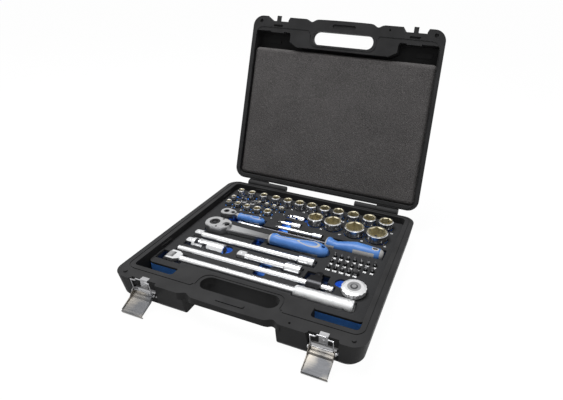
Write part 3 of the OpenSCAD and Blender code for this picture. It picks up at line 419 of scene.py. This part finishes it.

# %% [markdown]
# ## Finishes of the foam
#
# The tray is closed-cell foam: a thin black skin over a blue core, cut by water jet. Its surface shows tiny
# pores. The skin is embossed with ribs, and its colour carries painted light on their crests and painted
# shade in their valleys. The core is its own bright blue in the finger notches, in the wells at the front
# and around the sockets, and the long tool pockets get a navy that is painted shade. The pad of the lid is
# open-cell foam, whose pores are larger and catch light and shade in specks.


# %% Foam
def foam_finish(name, dark, light, pore_scale, depth, contrast):
    """Matte foam whose pores and specks run between a dark and a light colour."""
    made = Finish(name, Roughness=0.9, Specular_IOR_Level=0.25)
    pores = made.cells(pore_scale)
    specks = made.noise(pore_scale * 0.8, 2, 0.6)
    cloud = made.noise(18, 2, 0.5)
    tone = made.spread(pores * 0.5 + specks * 0.5, 0.5 - contrast, 0.5 + contrast)
    tone = tone * 0.85 + made.spread(cloud, 0.3, 0.7) * 0.15
    made.set("Base Color", made.mix(tone, dark, light))
    made.relief(pores + specks, depth, 0.8)
    return made


RIB_PITCH = 1.7 * MM


def ribbed_foam(name, dark, light):
    """Black skin foam, embossed with fine ribs from front to back; their crests are painted light, their
    valleys painted shade.
    """
    made = foam_finish(name, dark, light, 1500, 0.2 * MM, 0.25)
    x, _, _ = made.axes()
    ribs = (x * (2 * math.pi / RIB_PITCH)).sine()
    grain = made.noise(1200, 2, 0.6)
    # The ribs set the colour too: painted light on the crests, painted shade in the valleys.
    tone = made.spread(ribs + grain * 0.6, -0.6, 1.2)
    made.set("Base Color", made.mix(tone, dark, light))
    made.relief(ribs + grain * 0.5, 0.18 * MM, 0.7)
    return made


# Middle and half size of each finger notch, in millimetres
FINGER_NOTCHES = (
    (-50, 4, 9.5, 13), (-3, -71.5, 11, 16), (-136, 60, 13, 11),
    (-27, 87.5, 11, 12), (-25, 66.5, 11, 12), (8, 112, 7, 7),
    (74, 46, 7, 15), (-92, -43, 12, 12), (138, -51, 11, 11),
)
WELLS_BACK = -120 * MM
SOCKETS_FRONT = 95 * MM
CORE_PORES = 1300


def core_foam(name, painted_pocket_shade, dark, light):
    """Blue core foam: its own bright blue in the notches, the wells and round the sockets, and a navy of
    painted shade in the long tool pockets.
    """
    made = foam_finish(name, dark, light, CORE_PORES, 0.2 * MM, 0.3)
    x, y, _ = made.axes()
    unshaded_core = (y < WELLS_BACK).largest(y > SOCKETS_FRONT)
    for middle_x, middle_y, half_x, half_y in FINGER_NOTCHES:
        along = (x - middle_x * MM).size() < half_x * MM
        across = (y - middle_y * MM).size() < half_y * MM
        unshaded_core = unshaded_core.largest(along * across)
    specks = made.spread(made.noise(CORE_PORES * 0.8, 2, 0.6), 0.3, 0.7)
    # Outside the mask the core takes the navy of painted shade, for the shade in the long tool pockets.
    made.set("Base Color", made.mix(unshaded_core, painted_pocket_shade, made.mix(specks, dark, light)))
    return made


black_foam = ribbed_foam("tray_skin_foam", dark=(0.011, 0.011, 0.012), light=(0.036, 0.0365, 0.038))
blue_foam = core_foam("tray_core_foam", painted_pocket_shade=(0.01, 0.026, 0.08), dark=(0.06, 0.23, 0.72),
                      light=(0.09, 0.33, 0.94))
grey_foam = foam_finish("lid_pad_foam", dark=(0.024, 0.0225, 0.0225), light=(0.118, 0.112, 0.111),
                        pore_scale=620, depth=0.5 * MM, contrast=0.22)
print("foam finishes ready")

# %% [markdown]
# ## Finishes of the metal
#
# Most tools are chrome plated and polished; the ratchet bodies are left satin, and the flex head is forged
# steel given a darker colour, a painted shade for the shade in its fork gap. A metal's colour is its
# reflection, so the variation goes into roughness: fine polishing lines along the bar and a faint haze of
# handling.


# %% Chrome and steel
def metal(name, tint, rough_low, rough_high, relief=0.02 * MM):
    """A plated or ground metal with polishing lines along X."""
    made = Finish(name, Metallic=1.0)
    haze = made.noise(45, 3, 0.6, (0.15, 1, 1))
    lines = made.noise(900, 2, 0.5, (0.01, 1, 1))
    made.set("Roughness", made.spread(haze * 0.5 + lines * 0.5, 0.35, 0.65, rough_low, rough_high))
    made.set("Base Color", made.mix(made.spread(haze, 0.3, 0.7), tuple(0.93 * v for v in tint), tint))
    made.relief(lines, relief, 0.35)
    return made


chrome = metal("polished_chrome", (0.66, 0.665, 0.68), 0.1, 0.2, relief=0.006 * MM)
bar_chrome = metal("drawn_bar_chrome", (0.68, 0.685, 0.695), 0.26, 0.34, relief=0.002 * MM)
satin = metal("satin_chrome", (0.46, 0.462, 0.468), 0.24, 0.36)
black_steel = metal("black_oxide_steel", (0.03, 0.03, 0.032), 0.26, 0.4)
# The flex head's darker colour is painted shade, for the shade in its fork gap.
head_steel_painted_shade = metal("forged_head_painted_shade", (0.3, 0.3, 0.305), 0.3, 0.42)
plain_steel = metal("zinc_steel", (0.4, 0.4, 0.41), 0.25, 0.38)

dress(bar_chrome, "flex_handle_bar", "sliding_bar", "half_extension_long", "half_extension_short",
      "half_joint_yoke", "half_joint_square")
dress(chrome, "quarter_extension_long", "quarter_extension_short", "quarter_joint_yoke",
      "quarter_joint_square", "bit_adaptors")
dress(satin, "half_ratchet_body", "quarter_ratchet_body", "half_joint_cross")
dress(black_steel, "half_ratchet_drive", "half_ratchet_button", "half_ratchet_lever", "half_ratchet_screws",
      "sliding_head", "quarter_ratchet_drive", "quarter_ratchet_lever")
dress(head_steel_painted_shade, "flex_handle_head")
dress(plain_steel, "hinge_pins", "latch_plates", "latch_rivets", "flex_handle_pin")
print("metals dressed")

# %% [markdown]
# ## Latches, bits, the spinner shaft and the thumb ratchet
#
# The latch levers are pressed from stainless strip. The strip is brushed across its width, and the press
# leaves slow waves in it; the bands of lighter and darker steel that run over the lever are a painted
# reflection of those waves. The right lever is given a darker copy of the same steel, a painted shade
# against the glare of the lamp. The driver bits are blackened, but their tips are ground bare. The
# spinner's shaft is chrome, painted dark apart from its drive end, as a painted reflection of the dark
# lid and foam above its slot.
#
# The thumb ratchet is turned: a pale disc with a grey face in the middle, and a black ring about its hub.


# %% Pressed and ground steel
def pressed_steel(name, dark, light):
    """Brushed strip with slow waves from the press, which also paint bands of reflection into its colour."""
    made = Finish(name, Metallic=1.0)
    brushing = made.noise(500, 2, 0.5, (0.06, 1, 1))
    waves = made.noise(34, 1, 0.4, (0.8, 1, 1))
    # The light and dark colour bands that follow the waves are a painted reflection.
    made.set("Base Color", made.mix(made.spread(waves * 0.85 + brushing * 0.15, 0.4, 0.6), dark, light))
    made.set("Roughness", made.spread(brushing, 0.3, 0.7, 0.32, 0.4))
    made.relief(waves, 0.6 * MM, 0.5)
    return made


def ground_ends(name, body, ground, bright):
    """Dark steel with bright ends where a function of the place is one: ground bare on the bits; on the
    spinner shaft the dark is a painted reflection.
    """
    made = Finish(name, Metallic=1.0)
    haze = made.noise(70, 3, 0.6)
    made.set("Base Color", made.mix(bright(made), body, ground))
    made.set("Roughness", made.spread(haze, 0.3, 0.7, 0.18, 0.32))
    return made


latch_steel = pressed_steel("latch_steel", (0.11, 0.112, 0.118), (0.28, 0.26, 0.23))
# The right lever gets a darker copy of the steel: painted shade against the glare of the lamp.
latch_steel_painted_shade = pressed_steel("latch_steel_painted_shade", (0.05, 0.051, 0.054), (0.17, 0.158, 0.14))
bail_steel = metal("bail_wire_steel", (0.34, 0.34, 0.35), 0.2, 0.35)
bit_steel = ground_ends("blackened_bits", (0.07, 0.07, 0.073), (0.42, 0.42, 0.43),
                        lambda made: made.spread(made.axes()[2], RIM - 12.5 * MM, RIM - 8 * MM))
# The spinner shaft is chrome: its dark colour is a painted reflection of the dark lid and foam, and only its
# drive end keeps the chrome.
dark_reflection_shaft = ground_ends("spinner_shaft_painted_reflection", (0.045, 0.045, 0.05), (0.66, 0.665, 0.68),
                          lambda made: made.spread(made.axes()[0], -68 * MM, -80 * MM))
dress(latch_steel, "left_latch_lever")
dress(latch_steel_painted_shade, "right_latch_lever")
dress(bail_steel, "left_latch_bail", "right_latch_bail")
dress(bit_steel, "driver_bits")
dress(dark_reflection_shaft, "spinner_shaft")

DISC = middle_of("thumb_ratchet_drive")
TURNING_PITCH = 0.7 * MM


def ring_finish(name, bright, dark, band):
    """Turned steel with one dark band, a ring about the axis of the thumb ratchet."""
    made = Finish(name, Metallic=0.55)
    x, y, _ = made.axes()
    radius = ((x - DISC[0]) ** 2.0 + (y - DISC[1]) ** 2.0) ** 0.5
    turning = made.noise(500, 2, 0.5)
    inner, outer = band
    made.set("Base Color", made.mix((radius > inner) * (radius < outer), bright, dark))
    made.set("Roughness", made.spread(turning, 0.3, 0.7, 0.36, 0.42))
    made.relief((radius * (2 * math.pi / TURNING_PITCH)).sine() * 0.3, 0.004 * MM, 0.3)
    return made


disc_chrome = ring_finish("thumb_disc_chrome", bright=(0.7, 0.7, 0.705), dark=(0.3, 0.3, 0.305),
                          band=(0.0, 11.6 * MM))
hub_steel = ring_finish("thumb_drive_steel", bright=(0.3, 0.3, 0.305), dark=(0.05, 0.05, 0.052),
                        band=(4.2 * MM, 6.4 * MM))
dress(disc_chrome, "thumb_ratchet_disc")
dress(hub_steel, "thumb_ratchet_drive")
print("latches, bits, shaft and thumb ratchet dressed")

# %% [markdown]
# ## Sockets
#
# A socket is polished outside, with a painted reflection in long light and dark bands down its wall, but
# the broached hexagon inside is left as the plating bath left it: darker and olive brown. Each socket gets
# its own copy of the chrome, with a mask that is one inside the radius of its mouth.

# %% Socket finishes
# Half the width across the corners of a hexagon that is one wide across its flats
CORNER_SHARE = 0.577
SOCKET_SIZES = (10, 11, 12, 13, 14, 15, 16, 17, 18, 19, 21, 22, 24, 27, 30, 32)


def mouth_mask(made, centre, radius):
    """One inside a radius about a vertical axis, zero outside."""
    x, y, _ = made.axes()
    return ((x - centre[0]) ** 2.0 + (y - centre[1]) ** 2.0) < radius * radius


def socket_chrome(name, mouths):
    """Polished chrome whose wall carries a painted reflection in long bands, with the stained plating of the
    bath inside each mouth.
    """
    made = Finish(name, Metallic=1.0)
    haze = made.noise(45, 3, 0.6)
    painted_reflection_streaks = made.noise(170, 2, 0.6, (1, 1, 0.08))
    inside = None
    for centre, radius in mouths:
        mask = mouth_mask(made, centre, radius)
        inside = mask if inside is None else inside.largest(mask)
    stain = made.noise(260, 3, 0.6)
    bath = made.mix(made.spread(stain, 0.3, 0.7), (0.42, 0.385, 0.275), (0.66, 0.61, 0.46))
    # The wall's light and dark bands along the axis are a painted reflection.
    wall = made.mix(made.spread(painted_reflection_streaks, 0.42, 0.58), (0.44, 0.442, 0.45), (0.88, 0.885, 0.9))
    made.set("Base Color", made.mix(inside, wall, bath))
    made.set("Roughness", made.spread(haze * 0.4 + painted_reflection_streaks * 0.6, 0.3, 0.7, 0.1, 0.3) + inside * 0.22)
    return made


LIP_SHARE = 0.04
for size in SOCKET_SIZES:
    mouth = (middle_of(f"half_socket_{size}"), size * (CORNER_SHARE + LIP_SHARE) * MM)
    dress(socket_chrome(f"socket_{size}_chrome", [mouth]), f"half_socket_{size}")

# Size and place of each small socket, all in millimetres: they share one solid
QUARTER_SOCKETS = {
    8: (-181, 130), 5: (-116.5, 130), 5.5: (-98, 130), 6: (-79, 128.5), 7: (-59, 126),
    9: (-180, 107.5), 10: (-157, 106.5), 11: (-133, 105), 12: (-108, 104), 13: (-82, 103),
}
SMALL_LIP = 0.1
small_mouths = [
    ((x * MM, y * MM), (size * CORNER_SHARE + SMALL_LIP) * MM) for size, (x, y) in QUARTER_SOCKETS.items()
]
dress(socket_chrome("small_socket_chrome", small_mouths), "quarter_sockets")
print("sockets dressed")

# %% [markdown]
# ## Grips
#
# The grips are two-shot mouldings: a hard blue shell with panels of soft grey rubber. The boundary between
# them is a curve, so it is drawn in the finish as a function of the place along and across the grip. The
# solids are lofts of narrow flat faces, so each grip is a copy whose shading runs smoothly over them.


# %% Grip finishes
def grip_finish(name, start, end, axis_y, axis_z, half_width, panel):
    """Blue plastic with grey rubber where a function of the place on the grip is one."""
    made = Finish(name, Specular_IOR_Level=0.35)
    x, y, z = made.axes()
    along = (x - start) / (end - start)
    across = (y - axis_y) / half_width
    height = (z - axis_z) / half_width
    grey = panel(made, along, across, height)
    grain = made.noise(1800, 2, 0.6)
    tone = made.noise(40, 2, 0.5)
    cloud = made.spread(tone, 0.3, 0.7)
    blue = made.mix(cloud, (0.05, 0.155, 0.43), (0.078, 0.205, 0.52))
    rubber = made.mix(cloud, (0.34, 0.338, 0.336), (0.43, 0.427, 0.424))
    made.set("Base Color", made.mix(grey, blue, rubber))
    made.set("Roughness", made.spread(grain, 0.3, 0.7, 0.34, 0.44) + grey * 0.16)
    made.relief(grain * 0.3 - grey, 0.3 * MM, 0.5)
    return made


def oval(along, across, half_length, half_width):
    """Zero in the middle of an oval, one on its outline, more outside."""
    return ((along / half_length) ** 2.0 + (across / half_width) ** 2.0) ** 0.5


def ratchet_panel(made, along, across, height):
    """A teardrop ring on top with a thin line to the bell, and the lower flanks."""
    taper = made.spread(along, 0.46, 0.86, 0.3, 0.66)
    shape = oval(along - 0.67, across + 0.1, 0.2, taper)
    ring = (shape < 1.0) * (shape > 0.76)
    line = ((across + 0.1).size() < 0.06) * (along > 0.1) * (along < 0.48)
    flank = (height < (along - 0.9) * 0.8) * (along > 0.26) * (along < 0.86)
    under = height < -0.72
    neck = along < 0.03
    on_top = height > 0.2
    return (ring.largest(line) * on_top).largest(flank).largest(under).largest(neck)


def spinner_panel(made, along, across, height):
    """A grey underside that climbs the rear half of the flank, a ring about the hole, a neck and a cap."""
    rear_flank = (height < (0.35 - across * 0.3)) * (across < -0.1) * (along > 0.5) * (along < 0.86)
    edge = (height < (across * 0.35 - 0.28)) * (along > 0.07)
    hole_ring = (oval(along - 0.86, across, 0.062, 0.38) < 1.0) * (height > 0.0)
    cap = along > 0.945
    neck = (along < 0.03).largest((height < 0.1 - across * 0.3) * (along < 0.17))
    return rear_flank.largest(edge).largest(hole_ring).largest(cap).largest(neck)


CREASE = math.radians(32)


def smooth_grip(body, finish):
    """A copy of a lofted grip that is shaded round, apart from edges sharper than the crease."""
    dress(finish, f"{body}_grip")
    grip = copy_of(f"{body}_grip", f"{body}_shell")
    make_active(grip)
    bpy.ops.object.shade_smooth_by_angle(angle=CREASE)
    settle(grip, f"{body}_shell", finish.material, body)
    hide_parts(f"{body}_grip")
    return grip


smooth_grip("half_ratchet", grip_finish(
    "half_ratchet_grip_finish", start=-30.5 * MM, end=89 * MM, axis_y=16.5 * MM, axis_z=RIM - 9.4 * MM,
    half_width=14.5 * MM, panel=ratchet_panel))
smooth_grip("quarter_ratchet", grip_finish(
    "quarter_ratchet_grip_finish", start=-131 * MM, end=-70.5 * MM, axis_y=66 * MM, axis_z=RIM - 10.7 * MM,
    half_width=8.8 * MM, panel=ratchet_panel))
smooth_grip("spinner", grip_finish(
    "spinner_grip_finish", start=71 * MM, end=185 * MM, axis_y=55.5 * MM, axis_z=RIM - 16.5 * MM,
    half_width=13.8 * MM, panel=spinner_panel))
print("grips dressed")

# %% [markdown]
# ## Knurl of the flex handle
#
# The grip of the flex handle is knurled: two families of fine helical grooves that cross into diamonds. At
# this size the diamonds are under a millimetre, so they are relief in the finish, from two slanted waves of
# the angle about the bar and the place along it. The grooves are also painted a darker colour than the
# diamonds, as painted shade in the grooves.

# %% Knurled metal
KNURL_Y = -99.5 * MM
KNURL_Z = RIM - 14.5 * MM
KNURL_RADIUS = 11 * MM
GROOVES = 44
knurl = Finish("knurled_chrome", Metallic=1.0)
knurl_x, knurl_y, knurl_z = knurl.axes()
angle = (knurl_y - KNURL_Y).angle_from(knurl_z - KNURL_Z)
left_groove = (angle * GROOVES + knurl_x * (GROOVES / KNURL_RADIUS)).sine()
right_groove = (angle * GROOVES - knurl_x * (GROOVES / KNURL_RADIUS)).sine()
diamonds = left_groove.size().smallest(right_groove.size())
# The grooves get the darker colour: painted shade in the grooves.
knurl.set("Base Color", knurl.mix(diamonds, (0.42, 0.425, 0.43), (0.78, 0.785, 0.79)))
knurl.set("Roughness", knurl.spread(knurl.noise(80, 3, 0.6), 0.3, 0.7, 0.3, 0.42))
knurl.relief(diamonds, 0.22 * MM, 0.8)
dress(knurl, "flex_handle_grip")
print("knurl dressed")

# %% [markdown]
# ## The foam tray
#
# Foam that is cut by a jet keeps a faint round on every edge. The cut shape itself is exact, so each layer
# starts as a merged copy of its solid and gets a small bevel on its sharp edges.


# %% Tray layers
CUT_ANGLE = math.radians(50)


def tray_layer(node_name, name, finish, edge_round):
    """A foam layer as a copy of its solid, with a small round on each cut edge."""
    layer = copy_of(node_name, name)
    bevel = layer.modifiers.new("soft_edge", "BEVEL")
    bevel.width = edge_round
    bevel.segments = 2
    bevel.limit_method = "ANGLE"
    bevel.angle_limit = CUT_ANGLE
    settle(layer, name, finish.material, "case")
    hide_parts(node_name)
    return layer


tray_skin = tray_layer("tray_foam_top", "tray_skin", black_foam, edge_round=0.5 * MM)
tray_core = tray_layer("tray_foam_base", "tray_core", blue_foam, edge_round=0.4 * MM)
print("tray layers:", len(tray_skin.data.vertices), len(tray_core.data.vertices), "vertices")

# %% [markdown]
# ## The pad of the lid
#
# The pad is a slab of soft foam pressed into the lid. Its corners are round and its edges roll over. It is
# modelled lying flat, as a block with a bevel on its four corners and a smaller one on all its edges, and
# then turned with the lid.

# %% Lid pad
HINGE_Y = 198.4 * MM
OPEN_ANGLE = math.radians(108.3)
LID_GAP = 0.4 * MM
PAD_X = 210.5 * MM
PAD_FRONT = -120 * MM
PAD_BACK = 179.5 * MM
PAD_LOW = LID_GAP + 4.5 * MM
PAD_HIGH = LID_GAP + 32 * MM
PAD_CORNER = 9 * MM
PAD_EDGE = 1.6 * MM

clear_selection()
bpy.ops.mesh.primitive_cube_add(size=1, location=(0, (PAD_FRONT + PAD_BACK) / 2, (PAD_LOW + PAD_HIGH) / 2))
pad = bpy.context.active_object
pad.scale = (2 * PAD_X, PAD_BACK - PAD_FRONT, PAD_HIGH - PAD_LOW)
bpy.ops.object.transform_apply(location=True, rotation=True, scale=True)
bpy.ops.object.mode_set(mode="EDIT")
bpy.ops.mesh.select_all(action="DESELECT")
bpy.ops.object.mode_set(mode="OBJECT")
for edge in pad.data.edges:
    a, b = (pad.data.vertices[i].co for i in edge.vertices)
    edge.select = abs(a.z - b.z) > (PAD_HIGH - PAD_LOW) / 2
bpy.ops.object.mode_set(mode="EDIT")
bpy.ops.mesh.select_mode(type="EDGE")
bpy.ops.mesh.bevel(offset=PAD_CORNER, segments=6)
bpy.ops.object.mode_set(mode="OBJECT")
rounding = pad.modifiers.new("rolled_edge", "BEVEL")
rounding.width = PAD_EDGE
rounding.segments = 3
rounding.limit_method = "ANGLE"
settle(pad, "lid_pad", grey_foam.material, "lid")
opening = (
    Matrix.Translation((0, HINGE_Y, RIM))
    @ Matrix.Rotation(-OPEN_ANGLE, 4, "X")
    @ Matrix.Translation((0, -HINGE_Y, 0))
)
pad.data.transform(opening)
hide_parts("lid_foam")
print("lid pad:", len(pad.data.vertices), "vertices")

# %% [markdown]
# ## Printed sizes
#
# Each socket and bit has its size printed beside it in white. A text object gives the digits their shape;
# it is turned into a mesh, laid a hair above the foam, and all labels are joined into one piece.

# %% Size labels
TRAY_TOP = RIM - 14 * MM
LABEL_LIFT = 0.08 * MM
LABEL_DEPTH = 0.02 * MM
label_paint = Finish("label_white", Roughness=0.6)
wear = label_paint.noise(900, 2, 0.6)
label_paint.set("Base Color", label_paint.mix(wear, (0.82, 0.83, 0.84), (0.95, 0.95, 0.95)))


def label(words, x, y, height, weight=0.02):
    """One printed size, centred at a place in millimetres; weight thickens its strokes."""
    clear_selection()
    bpy.ops.object.text_add(location=(x * MM, y * MM, TRAY_TOP + LABEL_LIFT))
    made = bpy.context.active_object
    made.data.body = words
    made.data.size = height * MM
    made.data.align_x = "CENTER"
    made.data.align_y = "CENTER"
    made.data.extrude = LABEL_DEPTH
    made.data.offset = height * MM * weight
    bpy.ops.object.convert(target="MESH")
    bpy.ops.object.transform_apply(location=True, rotation=True, scale=True)
    return bpy.context.active_object


BIT_SIZES = (
    ("H2", "2.5", "H3", "H4", "H5", "H6", "H7"),
    ("S4", "5.5", "6.5", "P1", "P2", "P3", "P4"),
    ("T10", "T15", "T20", "T25", "H8"),
)
FIRST_BIT_X = 103
BIT_PITCH = 12.7
BIT_ROWS_Y = (10.5, -7.5, -25.5)

labels = []
for size in SOCKET_SIZES:
    x, y = middle_of(f"half_socket_{size}")
    if size > 24:
        right, front = 21.5, 20.8
    elif size == 24:
        right, front = 18.4, 16.9
    else:
        right, front = 14.5 + 0.3 * (size - 14), 11 + 0.8 * (size - 14)
    labels.append(label(str(size), x / MM + right, y / MM - front, height=4.8))
for size, (x, y) in QUARTER_SOCKETS.items():
    right = 14 if y < 110 else 9.7
    labels.append(label(str(size), x + right, y - 12, height=4))
for y, row in zip(BIT_ROWS_Y, BIT_SIZES):
    for i, words in enumerate(row):
        labels.append(label(words, FIRST_BIT_X + BIT_PITCH * i, y, height=5.4, weight=0.06))
make_active(labels[0])
for other in labels:
    other.select_set(True)
bpy.ops.object.join()
printed = bpy.context.active_object
settle(printed, "printed_sizes", label_paint.material, "case")
print("labels:", len(labels))
